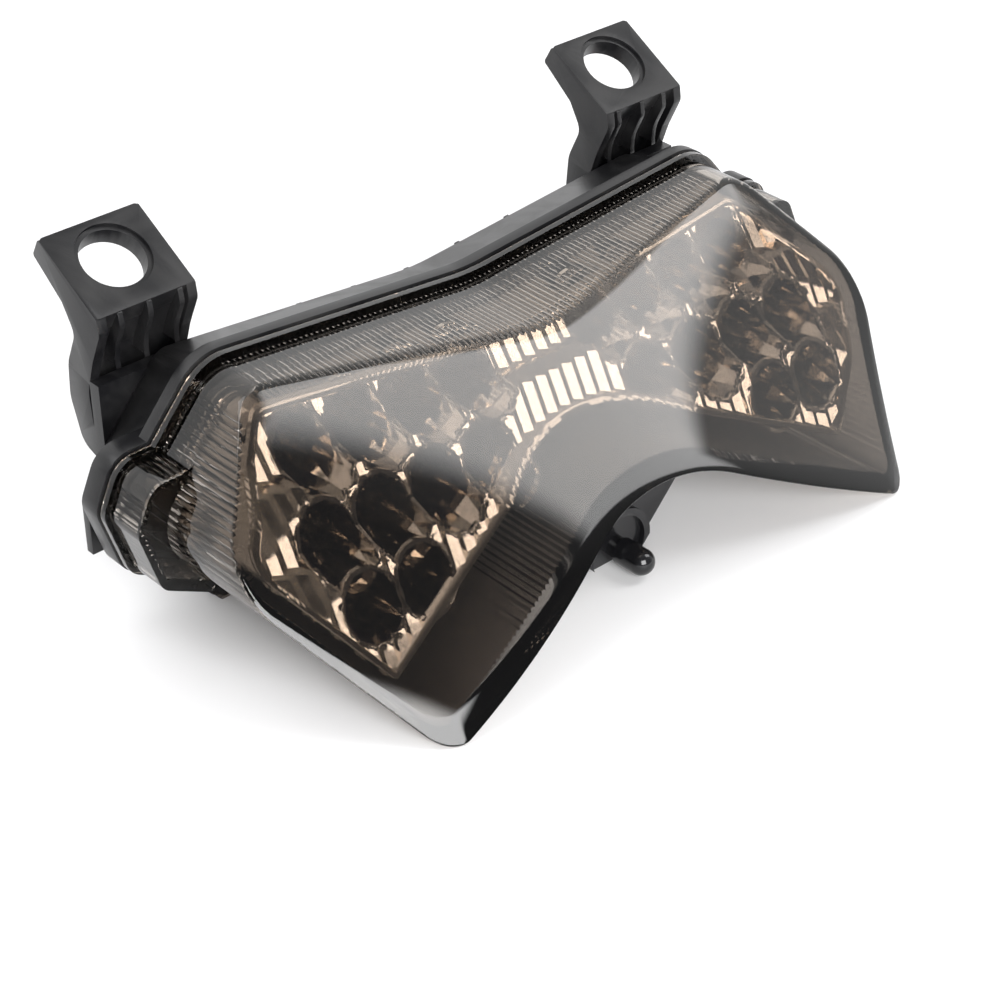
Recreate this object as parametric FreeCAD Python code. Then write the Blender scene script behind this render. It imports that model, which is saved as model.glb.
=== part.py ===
"""Motorcycle LED tail light: a butterfly-shaped smoked lens on a black moulded housing with two lugs.

Millimetres. The light stands on its wing tips, as on a bench: +Z is up, -Y is where it shines.
Every sub-part is modelled with y = 0 on the joint between lens and housing and z = 0 on the
bench, and the whole is then centred on the origin. Right and left are as seen from the front.
"""

import FreeCAD
import Part
import math
import os

from FreeCAD import Vector

os.makedirs("parts", exist_ok=True)

# Front outline of the lens, half of it: x, z and corner radius, from the top centre to the arch.
OUTLINE = (
    (0.0, 53.2, 60.0),
    (74.5, 60.0, 11.0),
    (98.0, 32.9, 12.0),
    (71.8, -1.5, 6.5),
    (0.0, 32.5, 49.0),
)
# Rounded side lobe that carries the joint round the corner of each wing.
LOBE = (
    (84.0, 46.3, 1.0),
    (98.0, 46.3, 7.0),
    (103.2, 35.0, 5.0),
    (98.0, 18.0, 6.0),
    (79.0, 8.0, 1.0),
    (70.0, 30.0, 1.0),
)

# The raked, domed front face: y as a function of x and z.
FACE_Y = -26.3
FACE_Z = 53.4
RAKE = 1.383
SWEEP = 0.1037
TWIST = 0.006
NOSE_ROUND = 15.0
DOME = 1.6

# Lens
LENS_WALL = 2.2
FACE_WALL = 4.0
FLANGE_OUT = 2.0
FLANGE_T = 1.6
LOBE_DEPTH = 12.0
LOBE_STEP = 1.2
DEEPEST = -92.0

# Joint bead between lens and housing
BEAD_T = 1.0
BEAD_OUT = 1.3
BEAD_W = 3.0

# Housing
HOUSING_FLANGE_T = 3.0
BODY_DEPTH = 20.0
BODY_INSET = 1.2
BACK_INSET = 5.4
WALL = 2.2
LOBE_BACK = 6.5
FLANGE_LAP = 0.3
TAB_X = (84.0, 99.5)
TAB_Y = (10.5, 12.7)
TAB_Z = (17.5, 30.0)
CHIN_HALF = 13.0
CHIN_Z = (20.0, 40.0)

# Reflector: heights and depths of the terraced floor, from the top down, and the edge wall behind it.
TERRACES = (
    (62.0, -6.7),
    (42.2, -22.1),
    (41.8, -29.6),
    (29.8, -36.4),
    (29.4, -42.6),
    (4.0, -55.5),
)
REFLECTOR_INSET = 5.6
REFLECTOR_T = 1.6
LIP = 1.6
LIP_W = 1.2
SKIRT_BACK = 3.0
SKIRT_FRONT = 12.0
# Bowl of a lamp: depth behind the lamp's tip and radius of each station, from the mouth to the throat.
CUP_STATIONS = (
    (-30.0, 7.3),
    (-16.0, 7.1),
    (-1.0, 5.68),
    (4.6, 4.4),
    (7.2, 3.6),
)

# Light-emitting diodes: three rows a wing, each with its height, its tip's depth and the lamps' distances
# from the centre.
LED_ROWS = (
    (44.8, -9.0, (65.0, 49.7, 34.4, 19.1)),
    (31.6, -20.0, (70.6, 55.6, 40.4, 25.0)),
    (19.8, -33.0, (69.0, 54.6)),
)
LED_R = 2.5
LED_RIM_R = 2.9
LED_LENGTH = 8.6
LED_LEG_R = 0.25
LED_LEG_GAP = 2.54
LED_RIM_T = 1.0

# Boards behind the reflector, raked like the rows of lamps.
BOARD_T = 1.6
BOARD_SLOPE = 0.97
BOARD_AT = (-7.0, 31.6)
BOARD_X = (12.5, 80.0)
BOARD_Z = (10.0, 51.0)
BOARD_SCREWS = ((15.5, 20.0), (75.0, 47.0), (33.0, 25.0))
BOARD_INSET = 9.0
SCREW_R = 1.25
SCREW_HEAD_R = 2.6
SCREW_HEAD_T = 1.6
SLOT_W = 0.6
SLOT_DEEP = 0.7
POST_R = 3.0
POST_DROP = 3.0
POST_GAP = 5.5
RESISTOR_R = 1.2
RESISTOR_LENGTH = 6.0
RESISTOR_LEG_R = 0.3
RESISTOR_LEG_AT = 2.4
RESISTOR_X = (24.0, 36.0, 48.0, 60.0)
RESISTOR_Z = 38.0

# Mounting lugs
LUG_X = (62.2, 87.9)
LUG_HOLE_X = 75.0
LUG_HOLE_YZ = (29.0, 74.6)
LUG_TILT = 29.8
PLATE_FRONT = 12.7
PLATE_BACK = 10.2
PLATE_T = 5.4
HOLE_R = 7.55
HOLE_RING_R = 8.65
HOLE_RING_DEPTH = 0.9
LUG_WALL = 2.4
LUG_RIB_X = (66.3, 74.4, 81.9)
LUG_RIB_T = 1.3
LUG_RIB_END = ((20.8, 54.0, 0.3), (26.0, 54.0, 0.3), (26.0, 66.0, 0.3))
PLATE_CORNER_R = 1.2
PLATE_EDGE_R = 0.8
ROOT_T = 3.4
ROOT_Z = (31.5, 51.0)
WEB_TOP = (24.5, 66.5, 0.5)
WEB_BACK = 3.2
WEB_T = 2.6
# Side view of the leg, y, z and corner radius: down its front, then up its back.
LUG_FRONT = (
    (17.4, 64.6, 3.0),
    (21.2, 56.6, 12.0),
    (24.2, 48.0, 10.0),
    (23.6, 39.0, 12.0),
    (20.0, 32.6, 1.0),
)
LUG_BACK = (
    (20.3, 30.2, 1.0),
    (28.6, 33.0, 5.0),
    (32.0, 43.5, 9.0),
    (31.2, 52.5, 9.0),
    (27.2, 61.0, 4.0),
    (31.0, 67.4, 2.5),
)

# Lower bracket and its locating peg
KEEL_FRONT = -50.0
KEEL_BACK = 4.0
KEEL_WALL = 2.2
RING_R = 10.0
RING_T = 1.5
RING_W = 1.8
KEEL_RIB_T = 1.8
# Front view of the bracket: x, z and corner radius of its right half, bottom to top.
KEEL_HALF = (
    (7.0, 0.4, 3.0),
    (22.6, 17.6, 1.5),
    (9.0, 23.4, 10.0),
)
PEG_Z = 4.2
PEG_R = 3.2
PEG_TIP = -61.8
PEG_NECK_R = 2.6
PEG_NECK = 2.5

# Cable exit: a grommet in the back wall and a sleeve that leads behind the right lug
EXIT_X = 53.0
EXIT_Z = 27.0
GROMMET_R = 6.0
GROMMET_NECK_R = 4.6
GROMMET_NOSE = 4.0
GROMMET_FLANGE_T = 1.6
LEAD_APART = 1.1
SLEEVE_R = 2.2
SLEEVE_ROUTE = (
    (53.0, 25.6, 27.0),
    (53.4, 35.0, 27.3),
    (61.0, 39.6, 30.0),
    (71.5, 40.0, 36.0),
    (82.0, 39.4, 41.2),
    (93.0, 38.5, 43.0),
)

# The two leads: routes by hand from the sleeve's end to the start of each coil, then the spare length.
LEAD_R = 0.8
LEAD_LENGTH = 330.0
SUPPLY_ROUTE = (
    (93.0, 38.5, 43.9),
    (99.0, 39.0, 43.4),
    (103.3, 40.0, 39.6),
    (104.5, 41.5, 33.2),
    (103.5, 44.0, 24.0),
    (101.0, 48.0, 13.0),
    (96.0, 53.5, 4.5),
    (88.0, 58.8, 0.8),
    (77.0, 60.8, 0.8),
    (62.0, 60.8, 0.8),
)
EARTH_ROUTE = (
    (93.0, 38.5, 42.1),
    (97.6, 38.4, 41.4),
    (100.6, 38.9, 37.2),
    (101.0, 40.0, 30.8),
    (99.6, 42.2, 22.0),
    (96.0, 45.2, 12.0),
    (90.0, 46.6, 4.6),
    (82.0, 44.8, 0.8),
    (68.5, 38.6, 0.8),
    (52.0, 35.2, 0.8),
    (40.0, 36.2, 0.8),
    (28.0, 36.2, 0.8),
)
COIL_TURNS = 4
TAIL_RUN = 13.0
TERMINAL_R = 1.9
TERMINAL_LENGTH = 13.0
TERMINAL_PIN_R = 1.0
TERMINAL_PIN_LENGTH = 5.0

# Stiffening ribs on the housing's back
RIB_T = 1.4
RIB_OUT = 1.8
RIB_X = (-32.0, -16.0, 0.0, 16.0, 32.0)
RIB_Z = 39.0
RIB_REACH = 58.0

BIG = 400.0


def vec(x, y, z):
    return Vector(x, y, z)


def offset_corners(corners, distance):
    """Move the sides of a closed polygon of (x, z, radius) corners outwards; arcs stay concentric."""
    count = len(corners)
    area = sum(
        corners[i][0] * corners[(i + 1) % count][1] - corners[(i + 1) % count][0] * corners[i][1]
        for i in range(count)
    )
    turn = 1.0 if area > 0 else -1.0
    moved = []
    for i in range(count):
        before, here, after = corners[i - 1], corners[i], corners[(i + 1) % count]
        in_x, in_z = here[0] - before[0], here[1] - before[1]
        out_x, out_z = after[0] - here[0], after[1] - here[1]
        in_len = math.hypot(in_x, in_z)
        out_len = math.hypot(out_x, out_z)
        n1 = (turn * in_z / in_len, -turn * in_x / in_len)
        n2 = (turn * out_z / out_len, -turn * out_x / out_len)
        scale = distance / (1.0 + n1[0] * n2[0] + n1[1] * n2[1])
        convex = turn * (in_x * out_z - in_z * out_x) > 0
        radius = here[2] + (distance if convex else -distance)
        x = here[0] + scale * (n1[0] + n2[0])
        z = here[1] + scale * (n1[1] + n2[1])
        moved.append((x, z, max(radius, 0.4)))
    return moved


def front_plane(y):
    return lambda u, v: Vector(u, y, v)


def side_plane(x):
    return lambda u, v: Vector(x, u, v)


def rounded_wire(corners, place):
    """Closed wire in the plane that place maps to: straight sides and arcs of the corners' radii."""
    count = len(corners)
    arcs = []
    for i in range(count):
        before, here, after = corners[i - 1], corners[i], corners[(i + 1) % count]
        point = place(here[0], here[1])
        back = (place(before[0], before[1]) - point).normalize()
        ahead = (place(after[0], after[1]) - point).normalize()
        half = back.getAngle(ahead) / 2.0
        reach = here[2] / math.tan(half)
        middle = (back + ahead).normalize() * (here[2] / math.sin(half) - here[2])
        arcs.append((point + back * reach, point + middle, point + ahead * reach))
    edges = []
    for i in range(count):
        start, middle, end = arcs[i]
        edges.append(Part.Arc(start, middle, end).toShape())
        edges.append(Part.LineSegment(end, arcs[(i + 1) % count][0]).toShape())
    return Part.Wire(edges)


def mirrored(half):
    """Whole outline from its right half, whose first and last corners are on the centre line."""
    left = [(-x, z, r) for x, z, r in half[-2:0:-1]]
    return list(half) + left


def lens_corners(grow):
    return offset_corners(mirrored(OUTLINE), grow)


def lobe_corners(side, grow):
    corners = [(side * x, z, r) for x, z, r in LOBE]
    return offset_corners(corners, grow)


def prism(corners, y0, y1):
    face = Part.Face(rounded_wire(corners, front_plane(y0)))
    return face.extrude(vec(0, y1 - y0, 0))


def side_prism(corners, x0, x1):
    """Polygon of (y, z, radius) corners carried along x."""
    face = Part.Face(rounded_wire(corners, side_plane(x0)))
    return face.extrude(vec(x1 - x0, 0, 0))


def block(x0, x1, y0, y1, z0, z1):
    return Part.makeBox(x1 - x0, y1 - y0, z1 - z0, vec(x0, y0, z0))


def yz_prism(points, x0, x1):
    """Polygon of (y, z) points carried along x."""
    wire = Part.makePolygon([vec(x0, y, z) for y, z in points + points[:1]])
    return Part.Face(wire).extrude(vec(x1 - x0, 0, 0))


def cylinder_y(radius, x, z, y0, y1):
    return Part.makeCylinder(radius, y1 - y0, vec(x, y0, z), vec(0, 1, 0))


def above_bench(shape):
    return shape.common(block(-BIG, BIG, -BIG, BIG, 0, BIG))


def save(shape, name, shift):
    moved = shape.copy()
    moved.translate(shift)
    solids = moved.Solids
    valid = all(solid.isValid() for solid in solids)
    print("%-28s solids %d  volume %9.1f  valid %s" % (name, len(solids), moved.Volume, valid))
    moved.exportStep("parts/%s.step" % name)


def face_y(x, z):
    """Front face: raked back towards the top, swept back from the nose to the wing tips, slightly domed."""
    spread = math.sqrt(x * x + NOSE_ROUND * NOSE_ROUND) - NOSE_ROUND
    crown = DOME * (1.0 - ((z - 30.0) / 32.0) ** 2)
    return FACE_Y + RAKE * (z - FACE_Z) + spread * (SWEEP - TWIST * (z - FACE_Z)) - crown


def behind_face(back):
    """Everything behind the front face, once that is moved back by the given depth."""
    rows = []
    for i in range(-13, 14):
        x = 9.0 * i
        rows.append([vec(x, face_y(x, z) + back, z) for z in (-16.0, 4.0, 24.0, 44.0, 64.0, 84.0)])
    surface = Part.BSplineSurface()
    surface.interpolate(rows)
    return surface.toShape().extrude(vec(0, 220, 0))


def make_lens():
    """Smoked lens: a deep shell with a raked face, a thin flange round the joint and a lobe at each side."""
    outer = prism(lens_corners(0), DEEPEST, 0).common(behind_face(0))
    inner = prism(lens_corners(-LENS_WALL), DEEPEST, 1).common(behind_face(FACE_WALL))
    flange = prism(lens_corners(FLANGE_OUT), -FLANGE_T, 0)
    for side in (1, -1):
        outer = outer.fuse(prism(lobe_corners(side, -LOBE_STEP), -LOBE_DEPTH, 0))
        flange = flange.fuse(prism(lobe_corners(side, 0), -FLANGE_T, 0))
        inner = inner.fuse(prism(lobe_corners(side, -LOBE_STEP - LENS_WALL), -LOBE_DEPTH + LENS_WALL, 1))
    return above_bench(outer.fuse(flange).cut(inner)).removeSplitter()


def make_bead():
    """Ring of black sealant squeezed between the lens flange and the housing flange."""
    outer = prism(lens_corners(BEAD_OUT), 0, BEAD_T)
    inner = prism(lens_corners(BEAD_OUT - BEAD_W), -1, BEAD_T + 1)
    for side in (1, -1):
        outer = outer.fuse(prism(lobe_corners(side, BEAD_OUT - FLANGE_OUT), 0, BEAD_T))
        inner = inner.fuse(prism(lobe_corners(side, BEAD_OUT - FLANGE_OUT - BEAD_W), -1, BEAD_T + 1))
    return above_bench(outer.cut(inner)).removeSplitter()


def loft_between(near, far, y0, y1):
    wires = [rounded_wire(near, front_plane(y0)), rounded_wire(far, front_plane(y1))]
    return Part.makeLoft(wires, True, True)


def keel_corners(grow):
    """Blunt V under the arch; its upper side follows the arch and leaves room for the lens flange."""
    left = [(-x, z, r) for x, z, r in KEEL_HALF[::-1]]
    return offset_corners(list(KEEL_HALF) + left, grow)


def make_housing():
    """Black tray behind the lens: flange round the joint, a lobe each side and a chin for the bracket."""
    y1 = BEAD_T + HOUSING_FLANGE_T
    flange = prism(lens_corners(FLANGE_OUT + FLANGE_LAP), BEAD_T, y1)
    near = lens_corners(-BODY_INSET)
    far = lens_corners(-BACK_INSET)
    outer = flange.fuse(loft_between(near, far, y1, BODY_DEPTH))
    near_in = lens_corners(-BODY_INSET - WALL)
    far_in = lens_corners(-BACK_INSET - WALL)
    inner = loft_between(near_in, far_in, y1 - 3.5, BODY_DEPTH - WALL)
    for side in (1, -1):
        outer = outer.fuse(prism(lobe_corners(side, FLANGE_LAP), BEAD_T, LOBE_BACK))
        inner = inner.fuse(prism(lobe_corners(side, -BODY_INSET - WALL), 0, LOBE_BACK - WALL))
        x0, x1 = sorted((side * TAB_X[0], side * TAB_X[1]))
        outer = outer.fuse(block(x0, x1, TAB_Y[0], TAB_Y[1], TAB_Z[0], TAB_Z[1]))
    chin = prism(keel_corners(1.5), KEEL_BACK, BODY_DEPTH)
    chin = chin.fuse(block(-CHIN_HALF, CHIN_HALF, KEEL_BACK, BODY_DEPTH, CHIN_Z[0], CHIN_Z[1]))
    body = outer.fuse(chin).cut(inner)
    body = body.fuse(housing_posts()).fuse(back_ribs())
    body = body.cut(cylinder_y(GROMMET_NECK_R, EXIT_X, EXIT_Z, BODY_DEPTH - 10, BODY_DEPTH + 1))
    return above_bench(body).removeSplitter()


def board_y(z):
    """Front of the raked boards."""
    return BOARD_AT[0] + BOARD_SLOPE * (z - BOARD_AT[1])


def board_normal():
    return vec(0, 1, -BOARD_SLOPE).normalize()


def back_ribs():
    """Low ribs that stiffen the back wall: one along it and several up it, inside its edge."""
    y0 = BODY_DEPTH - 0.5
    y1 = BODY_DEPTH + RIB_OUT
    ribs = block(-RIB_REACH, RIB_REACH, y0, y1, RIB_Z - RIB_T / 2, RIB_Z + RIB_T / 2)
    for x in RIB_X:
        ribs = ribs.fuse(block(x - RIB_T / 2, x + RIB_T / 2, y0, y1, 0, 60))
    return ribs.common(prism(lens_corners(-BACK_INSET - 1.0), BODY_DEPTH - 1, BODY_DEPTH + 5))


def housing_posts():
    """Round posts from the back wall that the boards' screws go into."""
    posts = None
    for side in (1, -1):
        for x, z in BOARD_SCREWS:
            start = board_y(z) + POST_GAP
            post = cylinder_y(POST_R, side * x, z - POST_DROP, start, BODY_DEPTH - 1.0)
            posts = post if posts is None else posts.fuse(post)
    return posts.common(behind_board(BOARD_T + 0.8))


def behind_board(gap):
    """Half space behind the raked boards, a gap away from their front."""
    low, high = -60.0, 120.0
    normal = board_normal()
    slip = normal * gap
    points = [
        (board_y(low) + slip.y, low + slip.z),
        (board_y(high) + slip.y, high + slip.z),
        (BIG, high + slip.z),
        (BIG, low + slip.z),
    ]
    return yz_prism(points, -BIG, BIG)


def make_board(side):
    """Printed board of one wing: a raked plate inside the reflector's outline."""
    plate = behind_board(0).cut(behind_board(BOARD_T))
    outline = prism(lens_corners(-BOARD_INSET), DEEPEST, BODY_DEPTH)
    x0, x1 = sorted((side * BOARD_X[0], side * BOARD_X[1]))
    board = plate.common(outline).common(block(x0, x1, DEEPEST, BODY_DEPTH, BOARD_Z[0], BOARD_Z[1]))
    for x, z in BOARD_SCREWS:
        centre = vec(side * x, board_y(z), z)
        start = centre - board_normal() * 10
        board = board.cut(Part.makeCylinder(SCREW_R + 0.25, 20, start, board_normal()))
    return board


def make_board_screws():
    """Pan-head screws through the boards into the posts."""
    screws = []
    for side in (1, -1):
        for x, z in BOARD_SCREWS:
            normal = board_normal()
            centre = vec(side * x, board_y(z), z)
            head = Part.makeCylinder(SCREW_HEAD_R, SCREW_HEAD_T, centre, normal * -1)
            shank = Part.makeCylinder(SCREW_R, BOARD_T + 0.6, centre, normal)
            corner = vec(-SCREW_HEAD_R, -SLOT_W / 2, -0.1)
            slot = Part.makeBox(2 * SCREW_HEAD_R, SLOT_W, SLOT_DEEP + 0.1, corner)
            turned = FreeCAD.Rotation(vec(0, 0, 1), normal)
            slot.Placement = FreeCAD.Placement(centre - normal * SCREW_HEAD_T, turned)
            screws.append(head.fuse(shank).cut(slot))
    return Part.makeCompound(screws)


def make_resistors(side):
    """Row of small through-hole resistors on the back of one board."""
    bodies = []
    normal = board_normal()
    stand = RESISTOR_R + 0.1
    for x in RESISTOR_X:
        centre = vec(side * x, board_y(RESISTOR_Z), RESISTOR_Z) + normal * (BOARD_T + stand)
        start = centre - vec(RESISTOR_LENGTH / 2, 0, 0)
        body = Part.makeCylinder(RESISTOR_R, RESISTOR_LENGTH, start, vec(1, 0, 0))
        for end in (-1, 1):
            top = centre + vec(end * RESISTOR_LEG_AT, 0, 0)
            body = body.fuse(Part.makeCylinder(RESISTOR_LEG_R, stand, top, normal * -1))
        bodies.append(body)
    return Part.makeCompound(bodies)


def make_led(side, x, z, tip):
    """Five-millimetre lamp: a domed cylinder with a rim, and two leads back to the board."""
    centre_y = tip + LED_R
    base = tip + LED_LENGTH
    lamp = cylinder_y(LED_R, side * x, z, centre_y, base)
    lamp = lamp.fuse(Part.makeSphere(LED_R, vec(side * x, centre_y, z)))
    lamp = lamp.fuse(cylinder_y(LED_RIM_R, side * x, z, base - LED_RIM_T, base))
    for end in (-0.5, 0.5):
        lead_x = side * x + end * LED_LEG_GAP
        end_y = board_y(z)
        if end_y > base + 0.3:
            lamp = lamp.fuse(cylinder_y(LED_LEG_R, lead_x, z, base, end_y))
    return lamp


def terraced(shift):
    """Everything in front of the reflector's terraced floor, moved back by the given depth."""
    points = [(y + shift, z) for z, y in TERRACES]
    points = points + [(-BIG, points[-1][1]), (-BIG, points[0][1])]
    return yz_prism(points, -110, 110)


def cup(x, z, tip, skin):
    """Bowl that opens from the lamp's throat forwards; the skin makes it larger all round."""
    edge = [vec(x, tip + CUP_STATIONS[0][0], z)]
    edge += [vec(x + r + skin, tip + y, z) for y, r in CUP_STATIONS]
    edge += [vec(x, tip + CUP_STATIONS[-1][0], z)]
    outline = Part.Face(Part.makePolygon(edge + edge[:1]))
    return outline.revolve(vec(x, 0, z), vec(0, 1, 0), 360)


def reflector_edge(corners, limit):
    """Lip round the reflector's floor, and the skirt that carries it straight back past the joint."""
    band = prism(corners, DEEPEST, SKIRT_FRONT).common(limit)
    band = band.cut(prism(offset_corners(corners, -LIP_W), DEEPEST - 1, SKIRT_FRONT + 1))
    lip = band.common(terraced(2.0)).cut(terraced(-LIP))
    skirt = band.common(block(-BIG, BIG, -BIG, SKIRT_BACK, -BIG, BIG)).cut(terraced(0))
    return lip.fuse(skirt)


def make_reflector():
    """One metallised moulding: terraced floor with a lip and skirt round it and a cup for every lamp."""
    corners = lens_corners(-REFLECTOR_INSET)
    limit = behind_face(FACE_WALL + 1.0)
    solid = prism(corners, DEEPEST, SKIRT_FRONT).common(limit)
    floor = solid.common(terraced(2.2 * REFLECTOR_T)).cut(terraced(0))
    shell = floor.fuse(reflector_edge(corners, limit))
    front = terraced(0)
    bowls = []
    for z, tip, places in LED_ROWS:
        for x in places:
            for side in (1, -1):
                bowls.append((side * x, z, tip))
    for x, z, tip in bowls:
        shell = shell.fuse(cup(x, z, tip, 1.0).cut(front))
    for x, z, tip in bowls:
        shell = shell.cut(cup(x, z, tip, 0))
    for x, z, tip in bowls:
        shell = shell.cut(cylinder_y(LED_RIM_R + 0.2, x, z, tip, tip + 30))
    return shell.common(limit.fuse(block(-BIG, BIG, 0, 20, -BIG, BIG)))


def lug_profile():
    """Side view of a lug as (y, z, radius) corners: plate on top, leg down the back of the housing."""
    tilt = math.radians(LUG_TILT)
    along = (math.cos(tilt), math.sin(tilt))
    down = (math.sin(tilt), -math.cos(tilt))
    y, z = LUG_HOLE_YZ
    front_top = (y - PLATE_FRONT * along[0], z - PLATE_FRONT * along[1], PLATE_EDGE_R)
    back_top = (y + PLATE_BACK * along[0], z + PLATE_BACK * along[1], PLATE_EDGE_R)
    back_low = (back_top[0] + PLATE_T * down[0], back_top[1] + PLATE_T * down[1], PLATE_EDGE_R)
    return (front_top,) + LUG_FRONT + LUG_BACK + (back_low, back_top)


def lug_plate():
    """Tilted plate of a lug, with its hole's centre on the place where the bolt goes and no hole yet."""
    width = LUG_X[1] - LUG_X[0]
    corner = vec(LUG_X[0] - LUG_HOLE_X, -PLATE_FRONT, -PLATE_T)
    plate = Part.makeBox(width, PLATE_FRONT + PLATE_BACK, PLATE_T, corner)
    upright = []
    for edge in plate.Edges:
        first, last = edge.Vertexes[0], edge.Vertexes[-1]
        if abs(first.Z - last.Z) > 1.0:
            upright.append(edge)
    plate = plate.makeFillet(PLATE_CORNER_R, upright)
    tilt = FreeCAD.Rotation(vec(1, 0, 0), LUG_TILT)
    plate.Placement = FreeCAD.Placement(vec(LUG_HOLE_X, *LUG_HOLE_YZ), tilt)
    return plate


def lug_web(front_top):
    """Plate between a lug's two side walls, set back from their front."""
    front = [(y + WEB_BACK, z, r) for y, z, r in LUG_FRONT]
    back = [(y + WEB_BACK + WEB_T, z, r) for y, z, r in LUG_FRONT]
    top = [(front_top[0] + WEB_BACK, front_top[1] - 1.0, 0.5)]
    return side_prism(top + front + back[::-1] + [WEB_TOP], LUG_X[0], LUG_X[1])


def make_lug(side):
    """Mounting lug: tilted plate with a grommet hole on a ribbed leg with two side walls."""
    profile = lug_profile()
    x0, x1 = LUG_X
    walls = side_prism(profile, x0, x0 + LUG_WALL).fuse(side_prism(profile, x1 - LUG_WALL, x1))
    lug = walls.fuse(lug_web(profile[0])).fuse(lug_plate())
    lug = lug.fuse(block(x0, x1, BODY_DEPTH, BODY_DEPTH + ROOT_T, ROOT_Z[0], ROOT_Z[1]))
    for rib_x in LUG_RIB_X:
        rib = [profile[0]] + list(LUG_FRONT[:2]) + list(LUG_RIB_END)
        lug = lug.fuse(side_prism(rib, rib_x - LUG_RIB_T / 2, rib_x + LUG_RIB_T / 2))
    axis = FreeCAD.Rotation(vec(1, 0, 0), LUG_TILT).multVec(vec(0, 0, 1))
    centre = vec(LUG_HOLE_X, *LUG_HOLE_YZ)
    lug = lug.cut(Part.makeCylinder(HOLE_R, 3 * PLATE_T, centre - axis * 2 * PLATE_T, axis))
    lug = lug.cut(Part.makeCylinder(HOLE_RING_R, PLATE_T, centre - axis * HOLE_RING_DEPTH, axis))
    lug = lug.removeSplitter()
    if side < 0:
        lug = lug.mirror(vec(0, 0, 0), vec(1, 0, 0))
    return lug


def make_keel():
    """Lower bracket: a hollow blunt V under the arch, with a ring on its front round the peg."""
    outer = prism(keel_corners(0), KEEL_FRONT, KEEL_BACK)
    inner = prism(keel_corners(-KEEL_WALL), KEEL_FRONT + KEEL_WALL, KEEL_BACK - KEEL_WALL)
    rib = block(-KEEL_RIB_T / 2, KEEL_RIB_T / 2, KEEL_FRONT, KEEL_BACK, 1.0, 22.0)
    keel = outer.cut(inner).fuse(rib)
    ring = cylinder_y(RING_R, 0, PEG_Z, KEEL_FRONT - RING_T, KEEL_FRONT)
    ring = ring.cut(cylinder_y(RING_R - RING_W, 0, PEG_Z, KEEL_FRONT - RING_T, KEEL_FRONT))
    return keel.fuse(ring.common(prism(keel_corners(0), KEEL_FRONT - RING_T, KEEL_FRONT))).removeSplitter()


def make_peg():
    """Round locating peg with a domed end and a thinner neck at its root."""
    dome_y = PEG_TIP + PEG_R
    neck_y = KEEL_FRONT - PEG_NECK
    peg = cylinder_y(PEG_R, 0, PEG_Z, dome_y, neck_y)
    peg = peg.fuse(Part.makeSphere(PEG_R, vec(0, dome_y, PEG_Z)))
    return peg.fuse(cylinder_y(PEG_NECK_R, 0, PEG_Z, neck_y, KEEL_FRONT)).removeSplitter()


def make_grommet():
    """Rubber grommet in the back wall: a flange each side of the wall and a nose round the sleeve."""
    neck = cylinder_y(GROMMET_NECK_R, EXIT_X, EXIT_Z, BODY_DEPTH - WALL, BODY_DEPTH)
    outside = cylinder_y(GROMMET_R, EXIT_X, EXIT_Z, BODY_DEPTH, BODY_DEPTH + GROMMET_FLANGE_T)
    nose_at = vec(EXIT_X, BODY_DEPTH + GROMMET_FLANGE_T, EXIT_Z)
    nose = Part.makeCone(GROMMET_NECK_R, SLEEVE_R + 0.4, GROMMET_NOSE, nose_at, vec(0, 1, 0))
    back_wall = BODY_DEPTH - WALL
    inside = cylinder_y(GROMMET_R, EXIT_X, EXIT_Z, back_wall - GROMMET_FLANGE_T, back_wall)
    body = neck.fuse([outside, nose, inside])
    for side in (1, -1):
        hole = cylinder_y(LEAD_R, EXIT_X, EXIT_Z + side * LEAD_APART, back_wall - 2, BODY_DEPTH + 6)
        body = body.cut(hole)
    return body.removeSplitter()


def route_wire(points, name):
    """Straight runs joined by the largest tangent arcs that 0.45 of a corner's shorter run allows."""
    corners = [vec(*point) for point in points]
    edges = []
    radii = []
    here = corners[0]
    for before, corner, after in zip(corners, corners[1:], corners[2:]):
        back = before - corner
        ahead = after - corner
        turn = math.pi - back.getAngle(ahead)
        reach = 0.45 * min(back.Length, ahead.Length)
        radius = reach / math.tan(turn / 2.0)
        back.normalize()
        ahead.normalize()
        bisector = (back + ahead).normalize()
        middle = corner + bisector * (math.hypot(radius, reach) - radius)
        start = corner + back * reach
        end = corner + ahead * reach
        edges.append(Part.LineSegment(here, start).toShape())
        edges.append(Part.Arc(start, middle, end).toShape())
        radii.append(radius)
        here = end
    edges.append(Part.LineSegment(here, corners[-1]).toShape())
    print(name, "radii", ["%.1f" % radius for radius in radii])
    return Part.Wire(edges)


def make_tube(points, radius, name):
    """Round tube along a route; its volume is printed beside its section times its length."""
    path = route_wire(points, name)
    start = vec(*points[0])
    along = vec(*points[1]) - start
    section = Part.Wire([Part.makeCircle(radius, start, along)])
    tube = path.makePipeShell([section], True, False)
    expected = math.pi * radius * radius * path.Length
    print(name, "length %.1f, volume %.2f, section times length %.2f" % (path.Length, tube.Volume, expected))
    return tube, path.Length


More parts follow.
